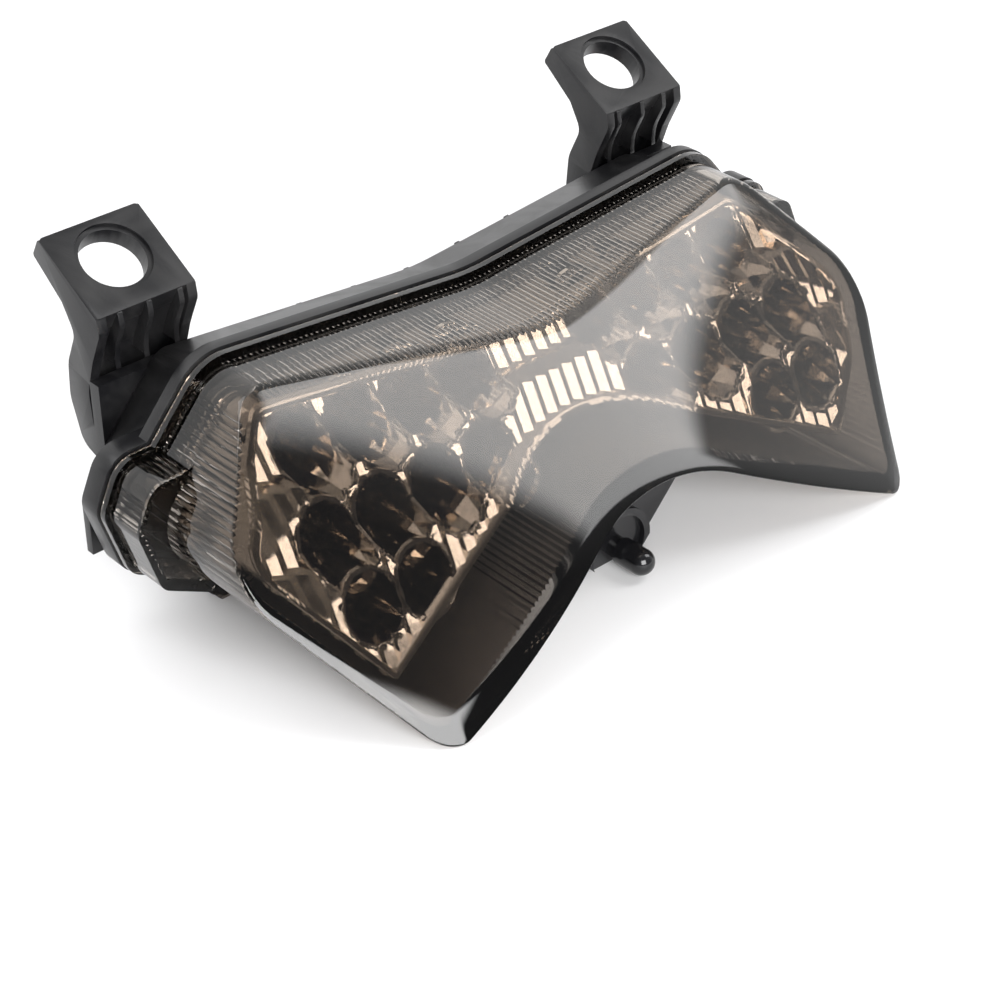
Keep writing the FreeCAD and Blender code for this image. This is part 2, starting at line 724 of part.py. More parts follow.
def coil_of_lead(route, side, route_length):
    """Spare length of a lead as a ring: two layers of two turns side by side, so four turns in all.

    side is +1 where the lead arrives on the coil's +y side and so turns left, and -1 on the other. After
    its whole turns the lead leaves over the place where it came in, in the upper layer.
    """
    end = vec(*route[-1])
    middle_turn = (LEAD_LENGTH - route_length - TAIL_RUN) / (COIL_TURNS * 2.0 * math.pi)
    outer_turn = middle_turn + LEAD_R
    centre = vec(end.x, end.y - side * outer_turn, 0)
    height = 4 * LEAD_R
    outer = Part.makeCylinder(outer_turn + LEAD_R, height, centre)
    ring = outer.cut(Part.makeCylinder(middle_turn - 2 * LEAD_R, height, centre))
    print("coil centre %s, middle turn's radius %.3f" % (centre, middle_turn))
    return ring, vec(end.x, end.y, 3 * LEAD_R)


def make_terminal(at, forward):
    """Bullet terminal: an insulated barrel crimped on the lead, and a round pin with a blunt end."""
    barrel = Part.makeCylinder(TERMINAL_R, TERMINAL_LENGTH, at, forward)
    barrel = barrel.makeFillet(0.5, barrel.Edges)
    pin = Part.makeCylinder(TERMINAL_PIN_R, TERMINAL_PIN_LENGTH, at + forward * TERMINAL_LENGTH, forward)
    tip = Part.makeSphere(TERMINAL_PIN_R, at + forward * (TERMINAL_LENGTH + TERMINAL_PIN_LENGTH))
    return barrel.fuse([pin, tip]).removeSplitter()


def make_lead(route, side, name):
    """One lead: tube from the sleeve to its coil, the coil, a short tail and the terminal beside it."""
    tube, length = make_tube(route, LEAD_R, name)
    ring, leave = coil_of_lead(route, side, length)
    forward = vec(-1, 0, 0)
    seat = vec(leave.x - TAIL_RUN, leave.y, TERMINAL_R)
    tail = Part.makeCylinder(LEAD_R, (seat - leave).Length, leave, seat - leave)
    terminal = make_terminal(seat, forward)
    return {
        name: Part.makeCompound([tube.cut(ring), tail.cut(ring).cut(terminal)]),
        name + "_coil": ring,
        name + "_terminal": terminal,
    }


def build():
    parts = {
        "lens_cover": make_lens(),
        "sealant_bead": make_bead(),
        "rear_housing": make_housing(),
        "reflector": make_reflector(),
        "left_mounting_lug": make_lug(-1),
        "right_mounting_lug": make_lug(1),
        "lower_bracket": make_keel(),
        "locating_peg": make_peg(),
        "cable_grommet": make_grommet(),
        "board_screws": make_board_screws(),
    }
    for side, word in ((-1, "left"), (1, "right")):
        parts[word + "_led_board"] = make_board(side)
        parts[word + "_board_resistors"] = make_resistors(side)
        for row, (z, tip, places) in enumerate(LED_ROWS, 1):
            for place, x in enumerate(places, 1):
                parts["%s_led_row%d_%d" % (word, row, place)] = make_led(side, x, z, tip)
    whole = Part.makeCompound(list(parts.values())).optimalBoundingBox(False, False)
    parts["lead_sleeve"] = make_tube(SLEEVE_ROUTE, SLEEVE_R, "lead_sleeve")[0]
    parts.update(make_lead(SUPPLY_ROUTE, 1, "supply_lead"))
    parts.update(make_lead(EARTH_ROUTE, -1, "earth_lead"))
    shift = vec(0, -(whole.YMin + whole.YMax) / 2.0, 0)
    print("moved along y by %.3f, box %s" % (shift.y, whole))
    for name, shape in parts.items():
        save(shape, name, shift)


build()
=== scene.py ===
"""Looks of a motorcycle LED tail light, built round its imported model.

The light is a smoked, fluted lens over a terraced, pleated reflector with a faceted bowl for every lamp, on a
black moulded housing with two lugs, a lower bracket with a peg, and two thin leads coiled behind it.

Lengths in this file are millimetres. x runs to the right, z up, and y backwards, away from where the light
shines, with y = 0 on the joint between lens and housing. `metres` turns such points into the frame's own.
"""

import math

import bmesh
import bpy
import numpy as np
from bpy.props import FloatProperty, FloatVectorProperty, PointerProperty
from bpy.types import Operator, Panel, PropertyGroup
from mathutils import Matrix, Vector


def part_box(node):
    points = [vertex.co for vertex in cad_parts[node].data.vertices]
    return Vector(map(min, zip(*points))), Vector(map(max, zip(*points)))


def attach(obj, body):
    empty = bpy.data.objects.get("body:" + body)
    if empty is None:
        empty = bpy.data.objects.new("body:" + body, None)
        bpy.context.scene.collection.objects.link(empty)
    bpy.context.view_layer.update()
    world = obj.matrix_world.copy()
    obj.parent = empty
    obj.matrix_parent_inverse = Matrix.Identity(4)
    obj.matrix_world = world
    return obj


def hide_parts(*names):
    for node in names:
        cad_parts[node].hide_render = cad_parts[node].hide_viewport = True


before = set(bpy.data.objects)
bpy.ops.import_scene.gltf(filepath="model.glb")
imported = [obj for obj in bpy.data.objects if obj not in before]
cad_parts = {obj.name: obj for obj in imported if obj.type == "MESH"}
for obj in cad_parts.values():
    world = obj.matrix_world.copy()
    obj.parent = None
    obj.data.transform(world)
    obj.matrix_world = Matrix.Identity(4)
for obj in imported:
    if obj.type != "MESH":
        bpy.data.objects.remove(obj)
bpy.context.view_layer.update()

bl_info = {
    "name": "LED Tail Light",
    "version": (1, 0, 0),
    "blender": (4, 5, 0),
    "location": "3D View > Sidebar > Tail Light",
    "description": "Builds the lens, reflector, lamps, housing and leads of a motorcycle tail light",
    "category": "Object",
}

MM = 0.001
JOINT_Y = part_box("lens_cover")[1].y / MM

# Front outline of the lens, right half: x, z and corner radius from the top centre down to the arch.
OUTLINE = (
    (0.0, 53.2, 60.0),
    (74.5, 60.0, 11.0),
    (98.0, 32.9, 12.0),
    (71.8, -1.5, 6.5),
    (0.0, 32.5, 49.0),
)
# Lobe at each side: the same for its own closed outline.
LOBE = (
    (84.0, 46.3, 1.0),
    (98.0, 46.3, 7.0),
    (103.2, 35.0, 5.0),
    (98.0, 18.0, 6.0),
    (79.0, 8.0, 1.0),
    (70.0, 30.0, 1.0),
)
LOBE_DEPTH = 12.0
LOBE_START_X = 84.0
FLANGE_OUT = 2.0
FLANGE_DEPTH = 1.6

# Front face: y at its reference height, rake, sweep, twist, dome, and rows of points up it.
FACE_Y = -26.3
FACE_Z = 53.4
RAKE = 1.383
SWEEP = 0.1037
TWIST = 0.006
NOSE_ROUND = 15.0
DOME = 1.6
DOME_MIDDLE_Z = 30.0
DOME_REACH = 32.0
FACE_ROWS = 14

# Reflector floor: heights and depths of its terraces, from the bottom up.
TERRACE_Z = (4.0, 29.4, 29.8, 41.8, 42.2, 62.0)
TERRACE_Y = (-55.5, -42.6, -36.4, -29.6, -22.1, -6.7)
REFLECTOR_INSET = 5.6
REFLECTOR_WALL = 1.2
SKIRT_BACK = 3.0
# Its grid: half its width, first and last height and their step, and how far inside the outline a cell has to be.
GRID_HALF_WIDTH = 94
GRID_HEIGHTS = (4.0, 60.0, 0.62)
GRID_INSIDE = 0.4
# Least gap between the floor and the inside of the lens's face, and the width over which pleats fade at a bowl.
FLOOR_GAP = 1.4
PLEAT_FADE = 0.7

# Bowls: radii of the facets' corners out to the mouth, facets round, flat bottom's radius, rise of the wall,
# height over the lamp's base, lip outside the mouth and how far it stands proud, and thickness.
BOWL_MOUTH_R = 7.3
BOWL_RINGS = (0.0, 3.2, 4.8, 6.2, BOWL_MOUTH_R)
BOWL_SIDES = 10
BOWL_FLAT_R = 3.6
BOWL_RISE = 0.62
BOWL_OVER_BASE = 1.4
BOWL_LIP = 0.75
BOWL_PROUD = 0.08
BOWL_WALL = 0.9

# Lamps: height, tip's depth and distances from the centre, row by row.
LAMP_ROWS = (
    (44.8, -9.0, (65.0, 49.7, 34.4, 19.1)),
    (31.6, -20.0, (70.6, 55.6, 40.4, 25.0)),
    (19.8, -33.0, (69.0, 54.6)),
)
LAMP_LENGTH = 8.6
LAMP_R = 2.5
LAMP_RIM_R = 2.9
LAMP_RIM = 1.0

# Routes of the sleeve and of the two leads, from the housing's grommet to the start of each coil.
SLEEVE_ROUTE = (
    (53.0, 25.6, 27.0),
    (53.4, 35.0, 27.3),
    (61.0, 39.6, 30.0),
    (71.5, 40.0, 36.0),
    (82.0, 39.4, 41.2),
    (93.0, 38.5, 43.0),
)
SUPPLY_ROUTE = (
    (93.0, 38.5, 43.9),
    (99.0, 39.0, 43.4),
    (103.3, 40.0, 39.6),
    (104.5, 41.5, 33.2),
    (103.5, 44.0, 24.0),
    (101.0, 48.0, 13.0),
    (96.0, 53.5, 4.5),
    (88.0, 58.8, 0.8),
    (77.0, 60.8, 0.8),
    (62.0, 60.8, 0.8),
)
EARTH_ROUTE = (
    (93.0, 38.5, 42.1),
    (97.6, 38.4, 41.4),
    (100.6, 38.9, 37.2),
    (101.0, 40.0, 30.8),
    (99.6, 42.2, 22.0),
    (96.0, 45.2, 12.0),
    (90.0, 46.6, 4.6),
    (82.0, 44.8, 0.8),
    (68.5, 38.6, 0.8),
    (52.0, 35.2, 0.8),
    (40.0, 36.2, 0.8),
    (28.0, 36.2, 0.8),
)
SLEEVE_R = 2.2
LEAD_R = 0.8
# Coils: turns, points a turn, each one's x, y, middle radius and sense, then the tail's run and the terminal.
COIL_TURNS = 4
POINTS_A_TURN = 20
SUPPLY_COIL = (62.0, 50.844, 9.156, 1)
EARTH_COIL = (28.0, 45.237, 8.237, -1)
TAIL_RUN = 13.0
TERMINAL_R = 1.9

# Copies of CAD nodes: faces that turn less than this are one face, edges that turn more are rounded. Degrees.
FLAT_ANGLE = 1.5
EDGE_ANGLE = 28

# Where the soft lamps aim. Each has a name, a direction, a distance, a width and height, a radiance, and the
# direction of its width where that isn't level.
TARGET = (0.0, -20.0, 30.0)
SOFTBOXES = (
    ("main", (0.578, -0.368, 0.733), 1300, (820, 470), 5.4, (0.821, 0.166, -0.548)),
    ("front", (-0.35, -0.85, 0.40), 900, (620, 560), 12.0, None),
    ("above", (-0.35, 0.35, 0.87), 1200, (700, 700), 2.6, None),
)
SOFTBOX_EDGE = 0.09

# Studio round the light: its bright side's direction, each level's place along it and colour, and strength. The
# floor's half width is in metres.
STUDIO_AXIS = (0.45, 0.89, 0.0)
STUDIO_LEVELS = ((0.30, (0.15, 0.15, 0.155, 1)), (0.72, (1.0, 1.0, 1.0, 1)))
STUDIO_STRENGTH = 1.5
FLOOR_HALF = 2.6

CAMERA_PLACE = (-315.1, -356.7, 314.7)
CAMERA_FORWARD = (0.5577, 0.6110, -0.5619)
CAMERA_LENS = 84.8
CAMERA_SENSOR = 36.0


# ---------------------------------------------------------------- sizes and colours


class TailLightSizes(PropertyGroup):
    flute_pitch: FloatProperty(
        name="Flute pitch", description="Spacing of the flutes inside the lens walls, mm", default=1.5)
    flute_depth: FloatProperty(name="Flute depth", description="Depth of those flutes, mm", default=0.4)
    lens_wall: FloatProperty(name="Lens wall", description="Thickness of the lens's walls, mm", default=2.2)
    face_wall: FloatProperty(
        name="Lens face", description="Depth of the lens's face measured along y, mm", default=4.0)
    pleat_pitch: FloatProperty(name="Pleat pitch", description="Spacing of the reflector's pleats, mm", default=4.0)
    pleat_height: FloatProperty(name="Pleat height", description="Height of the reflector's pleats, mm", default=1.2)
    rim_width: FloatProperty(name="Rim width", description="Width of the rim round the reflector, mm", default=1.5)
    edge_round: FloatProperty(name="Edge rounding", description="Rounding of the housing's edges, mm", default=0.35)


class TailLightFinishes(PropertyGroup):
    smoke: FloatVectorProperty(
        name="Lens tint", description="Colour that one wall of the lens lets through", subtype="COLOR", size=3,
        min=0, max=1, default=(0.33, 0.298, 0.268))
    chrome: FloatVectorProperty(
        name="Reflector", description="Colour of the metallised reflector", subtype="COLOR", size=3,
        min=0, max=1, default=(0.93, 0.87, 0.80))
    plastic: FloatVectorProperty(
        name="Housing", description="Colour of the moulded housing", subtype="COLOR", size=3,
        min=0, max=1, default=(0.008, 0.008, 0.009))
    lead: FloatVectorProperty(
        name="Leads", description="Colour of the leads' insulation", subtype="COLOR", size=3,
        min=0, max=1, default=(0.30, 0.018, 0.016))
    floor: FloatVectorProperty(
        name="Floor", description="Colour of the floor", subtype="COLOR", size=3,
        min=0, max=1, default=(0.86, 0.86, 0.865))


def sizes():
    """The sizes that the panel shows."""
    return bpy.context.scene.tail_light_sizes


def finishes():
    """The colours that the panel shows."""
    return bpy.context.scene.tail_light_finishes


# ---------------------------------------------------------------- outlines and surfaces


def metres(x, y, z):
    """Points of the light's own frame, in millimetres, as an array of the scene's points in metres."""
    x, y, z = np.broadcast_arrays(x, y, z)
    return np.stack([x, y + JOINT_Y, z], axis=-1) * MM


def grown(corners, distance):
    """Closed polygon with every side moved outwards by distance and its corner arcs kept concentric."""
    xz = np.array([c[:2] for c in corners])
    radius = np.array([c[2] for c in corners])
    into = xz - np.roll(xz, 1, axis=0)
    out = np.roll(xz, -1, axis=0) - xz
    x, z = xz.T
    turn = np.sign(np.sum(x * np.roll(z, -1) - np.roll(x, -1) * z))
    normal_in = turn * np.stack([into[:, 1], -into[:, 0]], 1) / np.linalg.norm(into, axis=1)[:, None]
    normal_out = turn * np.stack([out[:, 1], -out[:, 0]], 1) / np.linalg.norm(out, axis=1)[:, None]
    share = distance / (1 + np.sum(normal_in * normal_out, 1))
    convex = turn * (into[:, 0] * out[:, 1] - into[:, 1] * out[:, 0]) > 0
    radius = np.maximum(radius + np.where(convex, distance, -distance), 0.4)
    return xz + share[:, None] * (normal_in + normal_out), radius


def rounded(corners, distance, steps=40):
    """The grown polygon as a dense closed line: each corner is an arc that is tangent to both its sides."""
    xz, radius = grown(corners, distance)
    back = np.roll(xz, 1, axis=0) - xz
    ahead = np.roll(xz, -1, axis=0) - xz
    back /= np.linalg.norm(back, axis=1)[:, None]
    ahead /= np.linalg.norm(ahead, axis=1)[:, None]
    half = np.arccos(np.clip(np.sum(back * ahead, 1), -1, 1)) / 2
    middle = back + ahead
    middle /= np.linalg.norm(middle, axis=1)[:, None]
    centre = xz + middle * (radius / np.sin(half))[:, None]
    reach = (radius / np.tan(half))[:, None]
    start = xz + back * reach - centre
    end = xz + ahead * reach - centre
    angle = np.pi - 2 * half
    t = np.linspace(0, 1, steps)[None, :]
    a = (np.sin((1 - t) * angle[:, None]) / np.sin(angle)[:, None])[..., None]
    b = (np.sin(t * angle[:, None]) / np.sin(angle)[:, None])[..., None]
    arcs = centre[:, None, :] + a * start[:, None, :] + b * end[:, None, :]
    return arcs.reshape(-1, 2)


def mirrored(half):
    """Right half's corners, then the same with x negated, in reverse and without the two on the centre line."""
    return list(half) + [(-x, z, r) for x, z, r in half[-2:0:-1]]


def upper_and_lower(line):
    """Right halves of a closed line as two rising tables (x, z): its upper and its lower side."""
    x, z = line.T
    far = np.argmax(x)
    x, z = np.roll(x, -far), np.roll(z, -far)
    near = np.argmin(x)
    one = np.stack([x[: near + 1][::-1], z[: near + 1][::-1]])
    two = np.stack([np.append(x[near:], x[0]), np.append(z[near:], z[0])])
    return (one, two) if one[1].mean() > two[1].mean() else (two, one)


def half_outline(grow, lobe_grow=None, middle=480, side=110):
    """Upper and lower points of the right half of the lens, paired by x.

    x runs evenly to where the lobes start, and then as a sine towards the outermost point. With lobe_grow,
    the outline is the union of the lens's and the lobe's.
    """
    top, bottom = upper_and_lower(rounded(mirrored(OUTLINE), grow))
    reach = top[0, -1]
    lobe = None
    if lobe_grow is not None:
        lobe = upper_and_lower(rounded(LOBE, lobe_grow))
        reach = max(reach, lobe[0][0, -1])
    x = np.linspace(0, LOBE_START_X, middle)
    t = np.linspace(0, 1, side + 1)[1:]
    x = np.append(x, LOBE_START_X + (reach - LOBE_START_X) * np.sin(t * np.pi / 2))
    upper = np.interp(x, *top, right=-np.inf)
    lower = np.interp(x, *bottom, right=np.inf)
    if lobe is not None:
        inside = x >= LOBE_START_X
        upper = np.where(inside, np.maximum(upper, np.interp(x, *lobe[0])), upper)
        lower = np.where(inside, np.minimum(lower, np.interp(x, *lobe[1])), lower)
    return x, upper, lower


def outline(grow, lobe_grow=None, middle=480, side=110):
    """Upper and lower rows of points of the whole outline, from left to right, paired by x."""
    x, upper, lower = half_outline(grow, lobe_grow, middle, side)
    whole_x = np.concatenate([-x[:0:-1], x])
    top = np.stack([whole_x, np.concatenate([upper[:0:-1], upper])], 1)
    low = np.stack([whole_x, np.concatenate([lower[:0:-1], lower])], 1)
    return top, low


def loop_of(top, low):
    """The two rows as one closed loop, clockwise as seen from the front."""
    return np.concatenate([top, low[::-1]])


def above_floor(loop):
    """The loop with every height below zero raised to zero."""
    return np.stack([loop[:, 0], np.maximum(loop[:, 1], 0.0)], 1)


def face_y(x, z):
    """Front face: y rises with height by the rake, sweeps back from the nose by a hyperbola, less a low dome."""
    spread = np.sqrt(x * x + NOSE_ROUND * NOSE_ROUND) - NOSE_ROUND
    crown = DOME * (1.0 - ((z - DOME_MIDDLE_Z) / DOME_REACH) ** 2)
    return FACE_Y + RAKE * (z - FACE_Z) + spread * (SWEEP - TWIST * (z - FACE_Z)) - crown


def smooth_step(t):
    """t squared times three minus twice t, with t held between 0 and 1."""
    t = np.clip(t, 0, 1)
    return t * t * (3 - 2 * t)


def fluted(top, low):
    """The outline with its straight stretches pushed in by a row of half-round flutes.

    Each point moves along its inward normal by depth times |sin(pi * arc length / pitch)|, faded out to
    nothing where the outline turns by more than fade_from, in radians, between a few points ahead and behind.
    """
    few, fade_from, fade_over = 6, 0.05, 0.06
    loop = loop_of(top, low)
    step = np.roll(loop, -1, axis=0) - loop
    length = np.linalg.norm(step, axis=1)
    arc = np.concatenate([[0], np.cumsum(length)[:-1]])
    ahead = np.roll(loop, -few, axis=0) - loop
    behind = loop - np.roll(loop, few, axis=0)
    turn = np.abs(np.arctan2(
        ahead[:, 0] * behind[:, 1] - ahead[:, 1] * behind[:, 0], np.sum(ahead * behind, 1)))
    straight = 1 - smooth_step((turn - fade_from) / fade_over)
    along = ahead + behind
    along /= np.maximum(np.linalg.norm(along, axis=1), 1e-9)[:, None]
    inward = np.stack([along[:, 1], -along[:, 0]], 1)
    s = sizes()
    push = s.flute_depth * np.abs(np.sin(np.pi * arc / s.flute_pitch)) * straight
    moved = loop + inward * push[:, None]
    return moved[: len(top)], moved[len(top):][::-1]


def wall(loop, start_y, end_y, rows):
    """Grid of points: the loop carried along y from start_y to end_y, either of which may vary round it."""
    t = np.linspace(0, 1, rows)[:, None]
    y = (1 - t) * start_y + t * end_y
    closed = np.concatenate([loop, loop[:1]])
    y = np.concatenate([y * np.ones(len(loop)), (y * np.ones(len(loop)))[:, :1]], 1)
    return metres(closed[:, 0], y, closed[:, 1])


def between(loop_a, y_a, loop_b, y_b):
    """Two-row grid that joins one closed loop to another."""
    a = wall(loop_a, y_a, y_a, 1)
    b = wall(loop_b, y_b, y_b, 1)
    return np.concatenate([a, b])


def sheet_between(top, low, depth, rows):
    """Grid from the lower to the upper row of an outline, with its y from depth(x, z)."""
    v = np.linspace(0, 1, rows)[:, None, None]
    points = (1 - v) * low[None] + v * top[None]
    x, z = points[..., 0], points[..., 1]
    return metres(x, depth(x, z), z)


def grid_faces(rows, columns, first=0):
    """Quads of a grid of points that is numbered row by row from first."""
    r, c = np.meshgrid(np.arange(rows - 1), np.arange(columns - 1), indexing="ij")
    corner = first + r * columns + c
    return np.stack([corner, corner + 1, corner + columns + 1, corner + columns], -1).reshape(-1, 4)


# ---------------------------------------------------------------- meshes


def new_object(name, data):
    """Object of this mesh, curve, lamp or camera, linked to the scene."""
    made = bpy.data.objects.new(name, data)
    bpy.context.scene.collection.objects.link(made)
    return made


def add_piece(name, points, faces, smooth=None, weld=2e-6):
    """New object of these points and faces, welded where they meet, with its normals made to point outwards."""
    mesh = bpy.data.meshes.new(name)
    mesh.from_pydata(points.reshape(-1, 3), [], faces)
    work = bmesh.new()
    work.from_mesh(mesh)
    bmesh.ops.remove_doubles(work, verts=work.verts, dist=weld)
    bmesh.ops.dissolve_degenerate(work, edges=work.edges, dist=weld / 4)
    bmesh.ops.recalc_face_normals(work, faces=work.faces)
    work.to_mesh(mesh)
    work.free()
    if smooth is not None:
        mesh.shade_smooth()
        mesh.set_sharp_from_angle(angle=math.radians(smooth))
    return new_object(name, mesh)


def patches_to_piece(name, patches, smooth=None):
    """One object from several grids of points."""
    points, faces, first = [], [], 0
    for patch in patches:
        rows, columns = patch.shape[:2]
        points.append(patch.reshape(-1, 3))
        faces.append(grid_faces(rows, columns, first))
        first += rows * columns
    return add_piece(name, np.concatenate(points), np.concatenate(faces), smooth)


def joined(solids):
    """Arrays of points and of faces of several small solids as one pair of arrays."""
    points, faces, first = [], [], 0
    for solid_points, solid_faces in solids:
        points.append(solid_points.reshape(-1, 3))
        faces.append(solid_faces + first)
        first += len(points[-1])
    return np.concatenate(points), np.concatenate(faces)


def turned(profile, sides, x, z):
    """Closed solid of revolution about a line along y: profile is rows of (radius, y) from axis to axis."""
    radius, y = np.array(profile, float).T
    angle = np.linspace(0, 2 * np.pi, sides + 1)
    ring_x = x + radius[:, None] * np.cos(angle)
    ring_z = z + radius[:, None] * np.sin(angle)
    return metres(ring_x, y[:, None], ring_z), grid_faces(len(radius), sides + 1)


def bar(x0, x1, y0, y1, z0, z1):
    """Box between two corners as points and quads."""
    corners = np.array([(x, y, z) for x in (x0, x1) for y in (y0, y1) for z in (z0, z1)], float)
    faces = np.array([(0, 1, 3, 2), (4, 6, 7, 5), (0, 4, 5, 1), (2, 3, 7, 6), (0, 2, 6, 4), (1, 5, 7, 3)])
    return metres(*corners.T), faces


def softened(node, name, width, segments=3):
    """Copy of a CAD node with its triangles merged into flat faces and its sharp edges rounded."""
    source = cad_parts[node]
    mesh = source.data.copy()
    mesh.name = name
    work = bmesh.new()
    work.from_mesh(mesh)
    bmesh.ops.remove_doubles(work, verts=work.verts, dist=1e-6)
    bmesh.ops.dissolve_limit(work, angle_limit=math.radians(FLAT_ANGLE), verts=work.verts, edges=work.edges)
    work.to_mesh(mesh)
    work.free()
    mesh.materials.clear()
    piece = new_object(name, mesh)
    mesh.shade_smooth()
    bevel = piece.modifiers.new("rounded edges", "BEVEL")
    bevel.width = width * MM
    bevel.segments = segments
    bevel.limit_method = "ANGLE"
    bevel.angle_limit = math.radians(EDGE_ANGLE)
    bevel.harden_normals = True
    bevel.use_clamp_overlap = True
    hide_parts(node)
    return piece


def finish_piece(piece, finish):
    """Gives a piece its finish and its body."""
    piece.data.materials.clear()
    piece.data.materials.append(material_for(finish))
    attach(piece, "root")


# ---------------------------------------------------------------- materials


def node_of(tree, kind, **values):
    """New node with these properties."""
    made = tree.nodes.new(kind)
    for name, value in values.items():
        setattr(made, name, value)
    return made


def moulded_grain():
    """Group: fine mould grain and faint handling marks. Puts out a height, a mask of marks and a roughness."""
    if "Moulded grain" in bpy.data.node_groups:
        return bpy.data.node_groups["Moulded grain"]
    group = bpy.data.node_groups.new("Moulded grain", "ShaderNodeTree")
    for name, value in (("Grain scale", 900.0), ("Mark scale", 60.0), ("Roughness", 0.4), ("Spread", 0.1)):
        group.interface.new_socket(name, in_out="INPUT", socket_type="NodeSocketFloat").default_value = value
    for name in ("Height", "Marks", "Roughness"):
        group.interface.new_socket(name, in_out="OUTPUT", socket_type="NodeSocketFloat")
    start = node_of(group, "NodeGroupInput")
    end = node_of(group, "NodeGroupOutput")
    place = node_of(group, "ShaderNodeTexCoord")
    grain = node_of(group, "ShaderNodeTexNoise")
    grain.inputs["Detail"].default_value = 3.0
    marks = node_of(group, "ShaderNodeTexNoise")
    marks.inputs["Detail"].default_value = 6.0
    marks.inputs["Distortion"].default_value = 1.5
    group.links.new(place.outputs["Object"], grain.inputs["Vector"])
    group.links.new(place.outputs["Object"], marks.inputs["Vector"])
    group.links.new(start.outputs["Grain scale"], grain.inputs["Scale"])
    group.links.new(start.outputs["Mark scale"], marks.inputs["Scale"])
    ramp = node_of(group, "ShaderNodeMapRange")
    ramp.inputs["From Min"].default_value = 0.42
    ramp.inputs["From Max"].default_value = 0.68
    group.links.new(marks.outputs["Fac"], ramp.inputs["Value"])
    scaled = node_of(group, "ShaderNodeMath", operation="MULTIPLY_ADD")
    group.links.new(ramp.outputs["Result"], scaled.inputs[0])
    group.links.new(start.outputs["Spread"], scaled.inputs[1])
    group.links.new(start.outputs["Roughness"], scaled.inputs[2])
    group.links.new(grain.outputs["Fac"], end.inputs["Height"])
    group.links.new(ramp.outputs["Result"], end.inputs["Marks"])
    group.links.new(scaled.outputs["Value"], end.inputs["Roughness"])
    return group


def plain_material(name, colour, roughness, metallic=0.0, ior=1.5):
    """New material and its shader. A colour given as a word is the panel's colour of that name."""
    if isinstance(colour, str):
        colour = tuple(getattr(finishes(), colour))
    material = bpy.data.materials.new(name)
    material.use_nodes = True
    shader = material.node_tree.nodes["Principled BSDF"]
    shader.inputs["Base Color"].default_value = (*colour, 1.0)
    shader.inputs["Roughness"].default_value = roughness
    shader.inputs["Metallic"].default_value = metallic
    shader.inputs["IOR"].default_value = ior
    return material, shader


def grained(name, colour, base, grain, marks, roughness, spread, bump, depth=0.0001, tone=None, share=0.5, **plain):
    """Material with mould grain.

    grain and marks are the two scales, roughness and spread the least roughness and how much the marks add,
    bump and depth the grain's strength and height. A tone colours the marks, by its share of their mask.
    """
    material, shader = plain_material(name, colour, base, **plain)
    tree = material.node_tree
    group = node_of(tree, "ShaderNodeGroup", node_tree=moulded_grain())
    for socket, value in (("Grain scale", grain), ("Mark scale", marks), ("Roughness", roughness), ("Spread", spread)):
        group.inputs[socket].default_value = value
    tree.links.new(group.outputs["Roughness"], shader.inputs["Roughness"])
    raised = node_of(tree, "ShaderNodeBump")
    raised.inputs["Strength"].default_value = bump
    raised.inputs["Distance"].default_value = depth
    tree.links.new(group.outputs["Height"], raised.inputs["Height"])
    tree.links.new(raised.outputs["Normal"], shader.inputs["Normal"])
    if tone is not None:
        mixed = node_of(tree, "ShaderNodeMix", data_type="RGBA")
        scaled = node_of(tree, "ShaderNodeMath", operation="MULTIPLY")
        scaled.inputs[1].default_value = share
        tree.links.new(group.outputs["Marks"], scaled.inputs[0])
        tree.links.new(scaled.outputs["Value"], mixed.inputs["Factor"])
        mixed.inputs["A"].default_value = shader.inputs["Base Color"].default_value
        mixed.inputs["B"].default_value = (*tone, 1.0)
        tree.links.new(mixed.outputs["Result"], shader.inputs["Base Color"])
    return material


def clear(name, colour, roughness, ior, filtered):
    """Glass that lamps shine through: for shadow rays the material is a plain filter of the filtered colour."""
    material, shader = plain_material(name, colour, roughness, ior=ior)
    shader.inputs["Transmission Weight"].default_value = 1.0
    tree = material.node_tree
    path = node_of(tree, "ShaderNodeLightPath")
    filter_shader = node_of(tree, "ShaderNodeBsdfTransparent")
    filter_shader.inputs["Color"].default_value = (*filtered, 1.0)
    mixed = node_of(tree, "ShaderNodeMixShader")
    tree.links.new(path.outputs["Is Shadow Ray"], mixed.inputs[0])
    tree.links.new(shader.outputs[0], mixed.inputs[1])
    tree.links.new(filter_shader.outputs[0], mixed.inputs[2])
    tree.links.new(mixed.outputs[0], tree.nodes["Material Output"].inputs["Surface"])
    return material


def smoked_acrylic():
    """Smoked clear acrylic, a tenth darker for the lamps' light than its tint."""
    return clear("smoked acrylic", "smoke", 0.015, 1.49, tuple(0.9 * c for c in finishes().smoke))


def clear_epoxy():
    """Water-clear epoxy of the lamps."""
    return clear("clear epoxy", (0.93, 0.92, 0.90), 0.03, 1.52, (0.96, 0.955, 0.94))


